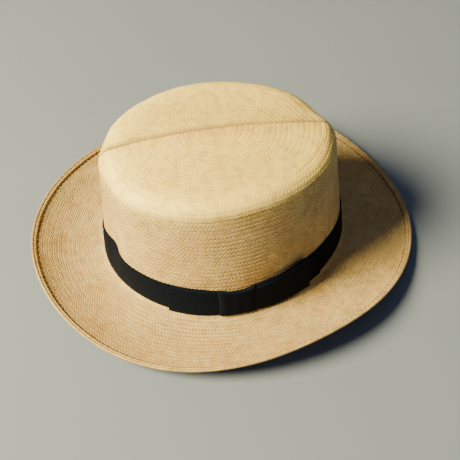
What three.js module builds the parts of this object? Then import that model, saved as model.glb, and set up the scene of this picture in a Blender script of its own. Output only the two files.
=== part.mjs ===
// Panama hat: a woven straw crown with a front-to-back ridge, a wide turned-edge brim, a black
// grosgrain band with a flat side bow, and a leather sweatband sewn in round the head opening.
//
// Millimetres, +Z up. The origin is the centre of the head opening, level with the lower edge of
// the band. The front of the hat faces -Y and the bow is on +X, the wearer's left.
import * as THREE from 'three';

// ---------------------------------------------------------------- driving dimensions
const headHalfLength = 102;      // outside of the straw at the head opening, front to back
const headHalfWidth = 87.7;
const headOvalPower = 1.88;      // 2 is an ellipse
const headEgg = -0.055;          // how much wider the front half is than the back half

const shoulderHeight = 94.3;     // where the wall ends and the shoulder starts
const shoulderHalfLength = 93;
const shoulderHalfWidth = 76.5;
const shoulderOvalPower = 2.0;
const shoulderEgg = -0.04;
const shoulderForward = 1.8;     // the crown's top sits this far towards the front
const shoulderBackLift = 1.4;    // the back shoulder is higher than the front one
const shoulderSideLift = 0.9;    // the side shoulders are higher than both
const shoulderRadius = 12;
const shoulderFlatness = 0.85;   // height of the shoulder's curve over its depth

const sinkDepth = 5;             // the shoulder has sunk a little at the back on the right
const sinkAngle = 336;
const sinkSpread = 13;

const tentRise = 6.2;            // rise of the crown's top from the shoulder to the ridge
const keelHeight = 5;            // the ridge itself stands this much prouder
const keelHalfWidth = 7.5;

const pinchDepth = 5;            // two shallow finger dents at the front of the wall
const pinchAngle = 163;
const pinchSpread = 9;

const strawThickness = 1.2;
const brimWidth = 60.2;
const brimFrontBias = 0.2;       // the front of the brim is wider, the back narrower
const brimCornerBias = 0.6;      // and it is widest between front, sides and back
const brimRootHeight = -1.6;     // upper face of the brim where it leaves the crown
const edgeRise = 11.4;           // mean height of the brim's edge, and how it waves round
const edgeWaves = [-0.5, -4.2, -6.5];
const brimCurl = 1.9;            // 1 is a straight slope, larger keeps the curl near the edge
const brimDip = 2.2;             // the brim sinks this far before it curls up

const hemWidth = 4.6;
const hemThickness = 1.3;
const threadThickness = 0.6;

const bandHeight = 27.6;
const ribbonThickness = 0.5;
const gatherAngle = 91;          // the knot draws the ribbons' edges together beside it
const gatherSpread = 13;
const gatherLift = 2;            // how far their lower edges rise there
const gatherDrop = 3.5;          // and how far their upper edges sink

const leatherThickness = 1.0;
const sweatbandHeight = 40;
const reedRadius = 1.1;

const gap = 0.3;                 // air between pieces that touch
const steps = 60;                // facets round the hat
const bandLevels = [0, 9, 18, bandHeight];

// ---------------------------------------------------------------- small helpers
const radians = THREE.MathUtils.degToRad;
const mix = THREE.MathUtils.lerp;
const smooth = THREE.MathUtils.smoothstep;
const range = (count, make) => Array.from({ length: count }, (unused, i) => make(i));

// Angles run from the back of the hat (+Y, 0 degrees) past the bow (+X, 90) to the front (180).
function ovalRadius(angle, halfLength, halfWidth, power) {
  const along = (Math.abs(Math.cos(angle) / halfLength)) ** power;
  const across = Math.abs(Math.sin(angle) / halfWidth) ** power;
  return (along + across) ** (-1 / power);
}

function ovalPoint(angle, halfLength, halfWidth, power, egg) {
  const radius = ovalRadius(angle, halfLength, halfWidth, power);
  const x = radius * Math.sin(angle) * (1 + egg * Math.cos(angle));
  return new THREE.Vector2(x, radius * Math.cos(angle));
}

// A point on the oval moved outwards by offset, square to the oval.
function offsetOval(angle, offset, ...oval) {
  const nudge = 0.004;
  const before = ovalPoint(angle - nudge, ...oval);
  const after = ovalPoint(angle + nudge, ...oval);
  const along = after.sub(before).normalize();
  return ovalPoint(angle, ...oval).add(new THREE.Vector2(-along.y, along.x).multiplyScalar(offset));
}

function headOval(share) {
  return [
    mix(headHalfLength, shoulderHalfLength, share),
    mix(headHalfWidth, shoulderHalfWidth, share),
    mix(headOvalPower, shoulderOvalPower, share),
    mix(headEgg, shoulderEgg, share),
  ];
}

// ---------------------------------------------------------------- the shape of the straw
function wallTop(angle) {
  const away = THREE.MathUtils.euclideanModulo(THREE.MathUtils.radToDeg(angle) - sinkAngle + 180, 360) - 180;
  const sink = sinkDepth * Math.exp(-((away / sinkSpread) ** 2));
  const waves = shoulderBackLift * Math.cos(angle) - shoulderSideLift * Math.cos(2 * angle);
  return shoulderHeight + waves - sink;
}

// How far the two front finger dents push the wall in.
function pinch(angle, height) {
  const degrees = THREE.MathUtils.radToDeg(angle);
  const share = smooth(height, 0, 34) * (1 - 0.75 * smooth(height, 45, 105));
  const left = Math.exp(-(((degrees - pinchAngle) / pinchSpread) ** 2));
  const right = Math.exp(-(((degrees - 360 + pinchAngle) / pinchSpread) ** 2));
  return pinchDepth * share * (left + right);
}

// A point beside the crown's wall: offset 0 is the straw's outer face, positive is outwards.
function besideWall(angle, height, offset) {
  const share = Math.max(height, 0) / wallTop(angle);
  const turn = ((angle % (2 * Math.PI)) + 2 * Math.PI) % (2 * Math.PI);
  const flat = offsetOval(angle, offset - pinch(turn, height), ...headOval(share));
  return new THREE.Vector3(flat.x, flat.y - share * shoulderForward, height);
}

// A point on a ribbon laid round the wall: its height is squeezed where the knot gathers it.
function onRibbon(angle, height, offset) {
  const away = (THREE.MathUtils.radToDeg(angle) - gatherAngle) / gatherSpread;
  const squeeze = gatherLift - ((gatherLift + gatherDrop) * height) / bandHeight;
  return besideWall(angle, height + squeeze * Math.exp(-(away ** 2)), offset);
}

// The keel is the narrow raised pleat of the ridge, strongest on top and gone below the shoulder.
function keel(x) {
  return keelHeight * Math.exp(-(Math.abs(x / keelHalfWidth) ** 1.5));
}

// A point on the shoulder's curve. Lean runs from 0 at the wall to 90 degrees on top.
function onShoulder(angle, lean, depth) {
  const height = wallTop(angle);
  const reach = (shoulderRadius - depth) * Math.cos(lean) - shoulderRadius;
  const flat = offsetOval(angle, reach - pinch(angle, height), ...headOval(1));
  const lift = (shoulderRadius * shoulderFlatness - depth) * Math.sin(lean);
  const pleat = keel(flat.x) * Math.sin(lean) ** 2;
  return new THREE.Vector3(flat.x, flat.y - shoulderForward, height + lift + pleat);
}

// A point on the crown's top, from 0 at the middle to 1 at the shoulder.
function onTop(angle, share, depth) {
  const edge = onShoulder(angle, Math.PI / 2, 0);
  const edgeHeight = wallTop(angle) + shoulderRadius * shoulderFlatness;
  const meanHeight = shoulderHeight + shoulderRadius * shoulderFlatness;
  const x = edge.x * share;
  const y = (edge.y + shoulderForward) * share;
  const side = Math.max(0, 1 - Math.abs(x) / (shoulderHalfWidth - shoulderRadius));
  const arch = Math.max(0, 1 - Math.abs(y / (shoulderHalfLength - shoulderRadius)) ** 2.2);
  const tent = tentRise * side ** 1.5 * arch;
  const height = mix(meanHeight, edgeHeight, share ** 2) + tent + keel(x) - depth;
  return new THREE.Vector3(x, y - shoulderForward, height);
}

function brimReach(angle) {
  return brimWidth - brimFrontBias * Math.cos(angle) - brimCornerBias * Math.cos(4 * angle);
}

function edgeHeight(angle) {
  return edgeWaves.reduce((sum, wave, i) => sum + wave * Math.cos((i + 1) * angle), edgeRise);
}

// A point beside the brim: share 0 is its root, 1 its edge, and lift is above its upper face.
function besideBrim(angle, reach, lift) {
  const share = THREE.MathUtils.clamp(reach / brimReach(angle), 0, 1);
  const flat = offsetOval(angle, reach, ...headOval(0));
  const rise = (edgeHeight(angle) - brimRootHeight) * share ** brimCurl;
  const dip = brimDip * Math.sin(Math.PI * share);
  return new THREE.Vector3(flat.x, flat.y, brimRootHeight + rise - dip + lift);
}

// ---------------------------------------------------------------- solids from rows of points
// Turns quads and triangles of points into one closed body whose faces point outwards.
function closedBody(corners, faces) {
  const volume = faces.reduce((sum, [a, b, c]) => (
    sum + corners[a].dot(new THREE.Vector3().crossVectors(corners[b], corners[c]))), 0);
  const turned = volume < 0 ? faces.map(([a, b, c]) => [a, c, b]) : faces;
  const geometry = new THREE.BufferGeometry().setFromPoints(corners);
  geometry.setIndex(turned.flat());
  geometry.computeVertexNormals();
  return geometry;
}

function quads(rowCount, columnCount, closeRows, closeColumns) {
  const faces = [];
  for (let i = 0; i < (closeRows ? rowCount : rowCount - 1); i += 1) {
    for (let j = 0; j < (closeColumns ? columnCount : columnCount - 1); j += 1) {
      const next = (i + 1) % rowCount;
      const beside = (j + 1) % columnCount;
      const [a, b] = [i * columnCount + j, i * columnCount + beside];
      const [c, d] = [next * columnCount + beside, next * columnCount + j];
      faces.push([a, b, c], [a, c, d]);
    }
  }
  return faces;
}

// A ring round the hat: section(angle) gives the same closed outline of points at every angle.
function ringRoundHat(section) {
  const rows = range(steps, (i) => section((2 * Math.PI * i) / steps));
  return closedBody(rows.flat(), quads(rows.length, rows[0].length, true, true));
}

// A flat piece laid on the wall: its outline is [degrees round the hat, distance from the wall],
// and place(degrees, distance, level) puts each point at its height, from level 0 to 1.
function pieceOnWall(outline, levels, place) {
  const rows = levels.map((level) => outline.map(([degrees, distance]) => place(degrees, distance, level)));
  const faces = quads(rows.length, outline.length, false, true);
  const last = (rows.length - 1) * outline.length;
  for (const [row, start, isTop] of [[rows[0], 0, false], [rows.at(-1), last, true]]) {
    const plan = row.map((p) => new THREE.Vector2(p.x, p.y));
    const turned = THREE.ShapeUtils.isClockWise(plan) !== isTop;
    for (const [a, b, c] of THREE.ShapeUtils.triangulateShape(plan, [])) {
      faces.push((turned ? [a, b, c] : [a, c, b]).map((k) => start + k));
    }
  }
  return closedBody(rows.flat(), faces);
}

function named(name, geometry, color, roughness, metalness = 0) {
  const mesh = new THREE.Mesh(geometry, new THREE.MeshStandardMaterial({ color, roughness, metalness }));
  mesh.name = name;
  return mesh;
}

const straw = 0xd8b98a;
const grosgrain = 0x15161a;
const leather = 0x6b4023;

// ---------------------------------------------------------------- straw
// The crown: outer skin up over the top, inner skin back down, joined at the lower rim.
function strawCrown() {
  const wallLevels = [...bandLevels.slice(1), sweatbandHeight, 60, 78];
  const leans = [0, 25, 50, 72].map(radians);
  const shares = [1, 0.84, 0.66, 0.48, 0.3, 0.14];
  const skin = (depth) => [
    ...[brimRootHeight + gap, ...wallLevels].map((height) => (angle) => besideWall(angle, height, -depth)),
    ...leans.map((lean) => (angle) => onShoulder(angle, lean, depth)),
    ...shares.map((share) => (angle) => onTop(angle, share, depth)),
  ];
  const outer = skin(0);
  const inner = skin(strawThickness).reverse();
  const rows = [...outer, ...inner].map((at) => range(steps, (i) => at((2 * Math.PI * i) / steps)));
  const corners = rows.flat();
  const peak = corners.push(onTop(0, 0, 0)) - 1;
  const underPeak = corners.push(onTop(0, 0, strawThickness)) - 1;
  const lastOuter = (outer.length - 1) * steps;
  const firstInner = outer.length * steps;
  const lastInner = (rows.length - 1) * steps;
  const bridge = (row) => (face) => face.every((corner) => corner >= row && corner < row + 2 * steps);
  const faces = quads(rows.length, steps, false, true).filter((face) => !bridge(lastOuter)(face));
  for (let j = 0; j < steps; j += 1) {
    const next = (j + 1) % steps;
    faces.push([lastOuter + j, lastOuter + next, peak]);
    faces.push([firstInner + next, firstInner + j, underPeak]);
    faces.push([lastInner + j, lastInner + next, next], [lastInner + j, next, j]);
  }
  return named('straw_crown', closedBody(corners, faces), straw, 0.6);
}

// The brim: a curved sheet from under the wall out to just short of the turned edge.
function strawBrim() {
  const shares = [0.06, 0.2, 0.36, 0.52, 0.67, 0.8, 0.9, 1];
  return named('straw_brim', ringRoundHat((angle) => {
    const outer = brimReach(angle) - hemThickness - gap;
    const reaches = [-strawThickness, ...shares.map((share) => share * outer)];
    const upper = reaches.map((reach) => besideBrim(angle, reach, 0));
    const lower = reaches.map((reach) => besideBrim(angle, reach, -strawThickness));
    return [...upper, ...lower.reverse()];
  }), straw, 0.6);
}

// The turned edge: the straw folded up and over onto the brim's upper face, with a round lip.
function brimHem() {
  return named('brim_hem', ringRoundHat((angle) => {
    const edge = brimReach(angle);
    const inside = edge - hemThickness;
    const top = gap + hemThickness;
    return [
      besideBrim(angle, edge - hemWidth, gap),
      besideBrim(angle, edge - hemWidth + 0.4, top - 0.2),
      besideBrim(angle, inside, top),
      besideBrim(angle, edge - 0.3, top - 0.5),
      besideBrim(angle, edge, -0.1),
      besideBrim(angle, edge - 0.4, -strawThickness),
      besideBrim(angle, inside, -strawThickness),
      besideBrim(angle, inside, gap),
    ];
  }), straw, 0.6);
}

// A thread laid round the brim in the groove against the turned edge.
function hemStitching() {
  return named('hem_stitching', ringRoundHat((angle) => {
    const outer = brimReach(angle) - hemWidth - gap;
    const inner = outer - threadThickness;
    return [
      besideBrim(angle, inner, gap),
      besideBrim(angle, outer, gap),
      besideBrim(angle, outer, gap + threadThickness),
      besideBrim(angle, inner, gap + threadThickness),
    ];
  }), 0xb58f5c, 0.7);
}

// ---------------------------------------------------------------- band and bow
function hatbandRibbon() {
  return named('hatband_ribbon', ringRoundHat((angle) => {
    const face = (offset) => bandLevels.map((height) => onRibbon(angle, height, offset));
    return [...face(gap), ...face(gap + ribbonThickness).reverse()];
  }), grosgrain, 0.75);
}

// A ribbon folded back on itself: two leaves from the knot's edge to a round fold.
function foldedRibbon(fromDegrees, toDegrees, leafOffsets) {
  const [innerFrom, innerTo, outerFrom, outerTo] = leafOffsets;
  const along = [0, 0.25, 0.5, 0.75, 1];
  const thick = ribbonThickness;
  const point = (share, near, far, side) => (
    [mix(fromDegrees, toDegrees, share), mix(near, far, share ** 1.6) + side]);
  const tip = toDegrees + Math.sign(toDegrees - fromDegrees) * 1.2;
  const middle = (innerTo + outerTo + thick) / 2;
  const innerTip = mix(toDegrees, tip, 0.35);
  return [
    ...along.map((share) => point(share, outerFrom, outerTo, thick)),
    [tip, middle],
    ...along.toReversed().map((share) => point(share, innerFrom, innerTo, 0)),
    ...along.map((share) => point(share, innerFrom, innerTo, thick)),
    [innerTip, middle],
    ...along.toReversed().map((share) => point(share, outerFrom, outerTo, 0)),
  ];
}

const bowLeaf = gap + ribbonThickness + gap;            // where the bow's first layer starts
const loopLeaf = bowLeaf + ribbonThickness + 0.6;       // and a loop's outer leaf
const knotLeaf = loopLeaf + ribbonThickness + gap;      // and the knot's wrap
const levels = [0, 0.35, 0.7, 1];

function bowFrontLoop() {
  const outline = foldedRibbon(97, 126.5, [bowLeaf, bowLeaf + 0.4, loopLeaf, loopLeaf + 0.5]);
  return named('bow_front_loop', pieceOnWall(outline, levels, (degrees, distance, level) => (
    onRibbon(radians(degrees), mix(-0.1, bandHeight - 0.4, level), distance)
  )), grosgrain, 0.75);
}

// The rear loop stands off the wall at its lower edge and climbs a little towards its end.
function bowRearLoop() {
  const tailRoom = ribbonThickness + gap;
  const outline = foldedRibbon(84, 51, [bowLeaf + tailRoom, 2.4, loopLeaf + tailRoom, 4.2]);
  return named('bow_rear_loop', pieceOnWall(outline, levels, (degrees, distance, level) => {
    const away = smooth(-degrees, -80, -50);
    const height = mix(-0.1 + 2.4 * away, bandHeight - 0.4 + 2.2 * away, level);
    return onRibbon(radians(degrees), height, distance + 1.2 * away * (1 - level));
  }), grosgrain, 0.75);
}

// The cut end of the bow's ribbon, one layer, showing a little past the rear loop.
function bowRearTail() {
  const [from, to] = [86, 44];
  const inner = range(8, (i) => [mix(from, to, i / 7), bowLeaf + 0.6 * (i / 7) ** 2]);
  const outer = inner.map(([degrees, distance]) => [degrees, distance + ribbonThickness]);
  const outline = [...inner, ...outer.reverse()];
  return named('bow_rear_tail', pieceOnWall(outline, levels, (degrees, distance, level) => {
    const slant = 3 * (1 - level) * smooth(-degrees, -60, -44);
    return onRibbon(radians(degrees - slant), mix(-0.1, bandHeight - 0.6, level), distance);
  }), grosgrain, 0.75);
}

// The knot: a strip wrapped over the bow, its ends turned in above and below the band.
function bowKnot() {
  const [near, far] = [81, 100.5];
  const tailRoom = ribbonThickness + gap;
  const outer = knotLeaf + tailRoom + ribbonThickness;
  const inner = outer - ribbonThickness;
  const [low, high] = [-1.1, bandHeight + 1.2];
  const lip = 0.6;
  const outline = [
    [outer - 0.8, low], [outer, low + 1], [outer, high - 1], [outer - 0.8, high], [0.6, high],
    [0.6, high - lip], [inner - 0.8, high - lip], [inner, high - 1.4], [inner, low + 1.4 * lip],
    [inner - 0.8, low + lip], [bowLeaf, low + lip], [bowLeaf, low],
  ];
  const across = range(5, (i) => mix(near, far, i / 4));
  const rows = across.map((degrees) => outline.map(([distance, height]) => (
    onRibbon(radians(degrees), height, distance))));
  const faces = quads(rows.length, outline.length, false, true);
  const flat = outline.map(([distance, height]) => new THREE.Vector2(distance, height));
  const last = (rows.length - 1) * outline.length;
  const flip = THREE.ShapeUtils.isClockWise(flat);
  for (const [a, b, c] of THREE.ShapeUtils.triangulateShape(flat, [])) {
    faces.push(flip ? [a, b, c] : [a, c, b]);
    faces.push(flip ? [last + a, last + c, last + b] : [last + a, last + b, last + c]);
  }
  return named('bow_knot', closedBody(rows.flat(), faces), grosgrain, 0.75);
}

// A short stitch that holds the band's top edge to the crown.
function bandTack(name, degrees) {
  const height = bandHeight + gap;
  const half = 1.6;
  const radius = threadThickness / 2;
  const bar = new THREE.CapsuleGeometry(radius, 2 * half, 2, 8);
  const angle = radians(degrees);
  const at = besideWall(angle, height + radius, gap + radius + 0.1);
  const ahead = besideWall(angle + 0.01, height + radius, gap + radius + 0.1);
  const along = ahead.clone().sub(at).normalize();
  bar.applyQuaternion(new THREE.Quaternion().setFromUnitVectors(new THREE.Vector3(0, 1, 0), along));
  bar.translate(at.x, at.y, at.z);
  return named(name, bar, 0x101114, 0.7);
}

// ---------------------------------------------------------------- inside
const leatherOuter = -strawThickness - gap - 0.2;
const leatherInner = leatherOuter - leatherThickness;

function sweatband() {
  const heights = [reedRadius + gap, ...bandLevels.slice(1), sweatbandHeight];
  return named('sweatband', ringRoundHat((angle) => {
    const face = (offset) => heights.map((height) => besideWall(angle, height, offset));
    return [...face(leatherInner), ...face(leatherOuter).reverse()];
  }), leather, 0.55);
}

// The reed: a thin cord in the fold at the sweatband's lower edge.
function sweatbandReed() {
  const centre = leatherOuter - reedRadius;
  return named('sweatband_reed', ringRoundHat((angle) => range(6, (i) => {
    const turn = (2 * Math.PI * i) / 6;
    return besideWall(angle, reedRadius * Math.sin(turn), centre + reedRadius * Math.cos(turn));
  })), 0x5a3620, 0.5);
}

function sweatbandStitching() {
  return named('sweatband_stitching', ringRoundHat((angle) => {
    const near = leatherInner - gap;
    const far = near - threadThickness;
    const [low, high] = [3.2, 3.2 + threadThickness];
    return [[near, low], [near, high], [far, high], [far, low]].map(([offset, height]) => (
      besideWall(angle, height, offset)));
  }), 0xd9c7a0, 0.7);
}

// A small flat bow at the back, over the join of the sweatband's ends.
function sweatbandBow() {
  const near = leatherInner - gap - 0.2;
  const far = near - 1;
  const halfLength = 6.5;
  const degreesAcross = range(7, (i) => mix(-halfLength, halfLength, i / 6));
  const inner = degreesAcross.map((degrees) => [degrees, near]);
  const outer = degreesAcross.map((degrees) => [degrees, far]);
  const outline = [...inner, ...outer.reverse()];
  return named('sweatband_bow', pieceOnWall(outline, [0, 1], (degrees, distance, level) => {
    const half = mix(2.2, 4.2, Math.min(1, Math.abs(degrees) / 3));
    return besideWall(radians(degrees), 11 + mix(-half, half, level), distance);
  }), leather, 0.6);
}

// A blank paper tab that would carry the size, lying on the leather beside the bow.
function sizeTab() {
  const near = leatherInner - gap - 0.1;
  const span = range(4, (i) => mix(24, 32, i / 3));
  const outline = [...span.map((d) => [d, near]), ...span.toReversed().map((d) => [d, near - 0.4])];
  return named('size_tab', pieceOnWall(outline, [0, 0.5, 1], (degrees, distance, level) => (
    besideWall(radians(degrees), mix(12, 22, level), distance))), 0xece4d2, 0.8);
}

// ---------------------------------------------------------------- the hat
const hat = new THREE.Group();
hat.add(strawCrown(), strawBrim(), brimHem(), hemStitching());
hat.add(hatbandRibbon(), bowFrontLoop(), bowRearLoop(), bowRearTail(), bowKnot());
hat.add(bandTack('band_tack_front', 178), bandTack('band_tack_back', 6));
hat.add(bandTack('band_tack_right_front', 225), bandTack('band_tack_right_back', 315));
hat.add(sweatband(), sweatbandReed(), sweatbandStitching(), sweatbandBow(), sizeTab());

export default hat;
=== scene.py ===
# %% [markdown]
# # A woven straw hat with a grosgrain band
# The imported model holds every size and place. This lesson loads it as a fixed frame and then makes
# the looks around it: straw woven in rings, a sewn ribbon with a flat bow, and a leather sweatband.

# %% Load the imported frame
import math

import bpy
import numpy as np
from mathutils import Matrix, Vector, noise


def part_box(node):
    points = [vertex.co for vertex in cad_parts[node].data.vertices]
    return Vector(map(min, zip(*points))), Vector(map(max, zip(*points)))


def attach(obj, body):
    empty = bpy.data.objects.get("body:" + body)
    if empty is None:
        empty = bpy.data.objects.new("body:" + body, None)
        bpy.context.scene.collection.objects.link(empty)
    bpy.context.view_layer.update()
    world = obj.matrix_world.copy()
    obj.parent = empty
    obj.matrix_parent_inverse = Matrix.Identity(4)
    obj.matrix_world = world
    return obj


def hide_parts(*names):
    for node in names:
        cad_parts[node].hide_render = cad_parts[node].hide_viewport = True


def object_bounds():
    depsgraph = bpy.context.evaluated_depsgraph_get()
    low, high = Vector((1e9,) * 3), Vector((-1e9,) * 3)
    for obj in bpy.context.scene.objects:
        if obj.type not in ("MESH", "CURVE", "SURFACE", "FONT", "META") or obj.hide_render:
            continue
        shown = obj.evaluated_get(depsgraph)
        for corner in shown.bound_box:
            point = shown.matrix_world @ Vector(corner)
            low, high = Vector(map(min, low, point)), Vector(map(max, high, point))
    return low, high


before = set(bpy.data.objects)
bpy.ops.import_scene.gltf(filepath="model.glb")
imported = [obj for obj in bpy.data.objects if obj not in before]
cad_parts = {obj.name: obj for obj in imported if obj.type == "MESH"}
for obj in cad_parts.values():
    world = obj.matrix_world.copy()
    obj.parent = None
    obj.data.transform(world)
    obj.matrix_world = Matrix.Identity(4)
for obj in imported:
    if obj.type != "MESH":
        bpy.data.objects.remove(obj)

cad_low, cad_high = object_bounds()
print("frame box in mm:", [round(1000 * (high - low), 1) for low, high in zip(cad_low, cad_high)])

# %% [markdown]
# ## The driving sizes
# Whatever the frame can tell is read from its boxes, so the looks follow the design. The rest are
# the few numbers that bend one oval into another. Sizes are in millimetres here, because a hat is
# measured that way, and become metres when a mesh is made.

# %% Sizes in millimetres
MM = 0.001


def box_mm(node):
    low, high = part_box(node)
    return np.array(low) / MM, np.array(high) / MM


crown_low, crown_high = box_mm("straw_crown")
hem_low, hem_high = box_mm("brim_hem")
HEAD_HALF_LENGTH = (crown_high[1] - crown_low[1]) / 2
HEAD_HALF_WIDTH = (crown_high[0] - crown_low[0]) / 2
BRIM_CORNERS = 0.6               # the brim is this much wider between front, sides and back
BRIM_WIDTH = (hem_high[1] - hem_low[1]) / 2 - HEAD_HALF_LENGTH + BRIM_CORNERS
BAND_HEIGHT = box_mm("hatband_ribbon")[1][2]
SWEATBAND_HEIGHT = box_mm("sweatband")[1][2]
STRAW = 1.2                     # thickness of the woven straw
LEATHER = 1.0
RIBBON = 0.5
print("head oval:", round(HEAD_HALF_LENGTH, 1), round(HEAD_HALF_WIDTH, 1), "brim:", round(BRIM_WIDTH, 1))

# %% [markdown]
# ## The block
# A hatter steams the woven body over a wooden block, so the hat's shape is the block's shape. The
# block is written here as three stretches that meet smoothly: the wall, the round shoulder and the
# top. An angle runs round the hat from the back, past the bow at 90 degrees, to the front at 180.

# %% The oval, and how it changes with height
SHOULDER_HEIGHT = 94.3
SHOULDER_HALF_LENGTH = 93.0
SHOULDER_HALF_WIDTH = 76.5
SHOULDER_FORWARD = 1.8
SHOULDER_RADIUS = 12.0
SHOULDER_FLATNESS = 0.85
SHOULDER_BACK_LIFT = 1.4         # the shoulder stands this much higher at the back
SHOULDER_SIDE_LIFT = 0.9         # and this much higher at the sides
HEAD_OVAL = (HEAD_HALF_LENGTH, HEAD_HALF_WIDTH, 1.88, -0.055)
TOP_OVAL = (SHOULDER_HALF_LENGTH, SHOULDER_HALF_WIDTH, 2.0, -0.04)


def stack(x, y, z):
    return np.stack(np.broadcast_arrays(x, y, z), axis=-1)


def smooth(value, low, high):
    t = np.clip((value - low) / (high - low), 0, 1)
    return t * t * (3 - 2 * t)


def oval_between(share):
    return [head + (top - head) * share for head, top in zip(HEAD_OVAL, TOP_OVAL)]


def on_oval(angle, half_length, half_width, power, egg):
    along = np.abs(np.cos(angle) / half_length) ** power
    across = np.abs(np.sin(angle) / half_width) ** power
    radius = (along + across) ** (-1 / power)
    return radius * np.sin(angle) * (1 + egg * np.cos(angle)), radius * np.cos(angle)


def off_oval(angle, offset, *oval):
    nudge = 0.004
    x0, y0 = on_oval(angle - nudge, *oval)
    x1, y1 = on_oval(angle + nudge, *oval)
    length = np.hypot(x1 - x0, y1 - y0)
    x, y = on_oval(angle, *oval)
    return x - (y1 - y0) / length * offset, y + (x1 - x0) / length * offset


# %% The wall with its two finger dents
PINCH_DEPTH = 5.0
PINCH_ANGLE = 166.0
PINCH_SPREAD = 7.5
PINCH_FULL = 34                  # the dents are fully deep from this height
PINCH_FADE = (45, 105)           # and fade between these two
PINCH_FADE_SHARE = 0.75
SINK_DEPTH = 5.0                 # the shoulder has sunk a little at the back on the right
SINK_ANGLE = 342.0
SINK_SPREAD = 11.0


def wall_top(angle):
    away = (np.degrees(angle) - SINK_ANGLE + 180) % 360 - 180
    sink = SINK_DEPTH * np.exp(-((away / SINK_SPREAD) ** 2))
    lift = SHOULDER_BACK_LIFT * np.cos(angle)
    return SHOULDER_HEIGHT + lift - SHOULDER_SIDE_LIFT * np.cos(2 * angle) - sink


def pinch(angle, height):
    degrees = np.degrees(angle) % 360
    share = smooth(height, 0, PINCH_FULL) * (1 - PINCH_FADE_SHARE * smooth(height, *PINCH_FADE))
    left = np.exp(-(((degrees - PINCH_ANGLE) / PINCH_SPREAD) ** 2))
    right = np.exp(-(((degrees - 360 + PINCH_ANGLE) / PINCH_SPREAD) ** 2))
    return PINCH_DEPTH * share * (left + right)


def beside_wall(angle, height, offset):
    share = np.maximum(height, 0) / wall_top(angle)
    x, y = off_oval(angle, offset - pinch(angle, height), *oval_between(share))
    return stack(x, y - share * SHOULDER_FORWARD, height + 0 * angle)


# %% The shoulder, the top and the ridge
TENT_RISE = 6.6
KEEL_HEIGHT = 4.6
KEEL_NEAR, KEEL_FAR = 21.0, 7.5      # the ridge climbs gently on the bow's side
CREST_SHARE = 0.72               # how much of its far side is the steep back of the fold
CREST_FAR = 1.7
VALLEY = 0.15                    # how far the fold dips just behind, as a share of its height
VALLEY_AWAY, VALLEY_WIDTH = 5.5, 2.6


def keel(x):
    away = np.abs(x)
    near = np.exp(-((away / KEEL_NEAR) ** 1.5))
    broad = np.exp(-((away / KEEL_FAR) ** 1.5))
    steep = np.exp(-((away / CREST_FAR) ** 1.4))
    valley = VALLEY * np.exp(-(((away - VALLEY_AWAY) / VALLEY_WIDTH) ** 2))
    behind = broad + (steep - broad) * CREST_SHARE - valley
    return KEEL_HEIGHT * np.where(x > 0, near, behind)


def on_shoulder(angle, lean, depth):
    height = wall_top(angle)
    reach = (SHOULDER_RADIUS - depth) * np.cos(lean) - SHOULDER_RADIUS
    x, y = off_oval(angle, reach - pinch(angle, height), *oval_between(1.0))
    lift = (SHOULDER_RADIUS * SHOULDER_FLATNESS - depth) * np.sin(lean)
    return stack(x, y - SHOULDER_FORWARD, height + lift + keel(x) * np.sin(lean) ** 2)


def on_top(angle, share, depth):
    edge = on_shoulder(angle, math.pi / 2, 0)
    edge_height = wall_top(angle) + SHOULDER_RADIUS * SHOULDER_FLATNESS
    mean_height = SHOULDER_HEIGHT + SHOULDER_RADIUS * SHOULDER_FLATNESS
    x = edge[..., 0] * share
    y = (edge[..., 1] + SHOULDER_FORWARD) * share
    side = np.maximum(0, 1 - np.abs(x) / (SHOULDER_HALF_WIDTH - SHOULDER_RADIUS))
    arch = np.maximum(0, 1 - np.abs(y / (SHOULDER_HALF_LENGTH - SHOULDER_RADIUS)) ** 2.2)
    height = mean_height + (edge_height - mean_height) * share ** 2
    height = height + TENT_RISE * side ** 1.5 * arch + keel(x) - depth
    return stack(x, y - SHOULDER_FORWARD, height)


# %% The brim
BRIM_ROOT = -1.6
BRIM_CURL = 1.9
BRIM_DIP = 2.2
BRIM_FRONT_BIAS = 0.2            # the brim is this much wider at the front
EDGE_HEIGHT = 11.4               # how high the edge stands on average
EDGE_FRONT, EDGE_SIDES, EDGE_TRIPLE = 0.5, 4.2, 6.5      # and how that varies once, twice, three times round


def brim_reach(angle):
    return BRIM_WIDTH - BRIM_FRONT_BIAS * np.cos(angle) - BRIM_CORNERS * np.cos(4 * angle)


def edge_height(angle):
    once, twice, thrice = np.cos(angle), np.cos(2 * angle), np.cos(3 * angle)
    return EDGE_HEIGHT - EDGE_FRONT * once - EDGE_SIDES * twice - EDGE_TRIPLE * thrice


def beside_brim(angle, reach, lift):
    share = np.clip(reach / brim_reach(angle), 0, 1.02)
    x, y = off_oval(angle, reach, *oval_between(0.0))
    rise = (edge_height(angle) - BRIM_ROOT) * share ** BRIM_CURL
    return stack(x, y, BRIM_ROOT + rise - BRIM_DIP * np.sin(math.pi * share) + lift)


print("crown peak in mm:", round(float(on_top(np.array(0.0), np.array(0.0), 0)[2]), 1))

# %% [markdown]
# ## Meshes from rows of points
# Every piece of this hat is a sheet: straw, ribbon or leather. A sheet is easiest to make as rows
# and columns of points, which numpy computes all at once. The same rows give each face its place
# in the weave, kept in a UV map called "weave", so a pattern follows the sheet and not the world.

# %% Rows of points to a mesh
made = {}


def grid_faces(rows, columns, wrap_columns, wrap_rows=False):
    i = np.arange(rows if wrap_rows else rows - 1)[:, None]
    j = np.arange(columns if wrap_columns else columns - 1)[None, :]
    below, beside = (i + 1) % rows, (j + 1) % columns
    corners = [i * columns + j, i * columns + beside, below * columns + beside, below * columns + j]
    return np.stack(np.broadcast_arrays(*corners), axis=-1).reshape(-1, 4)


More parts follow.
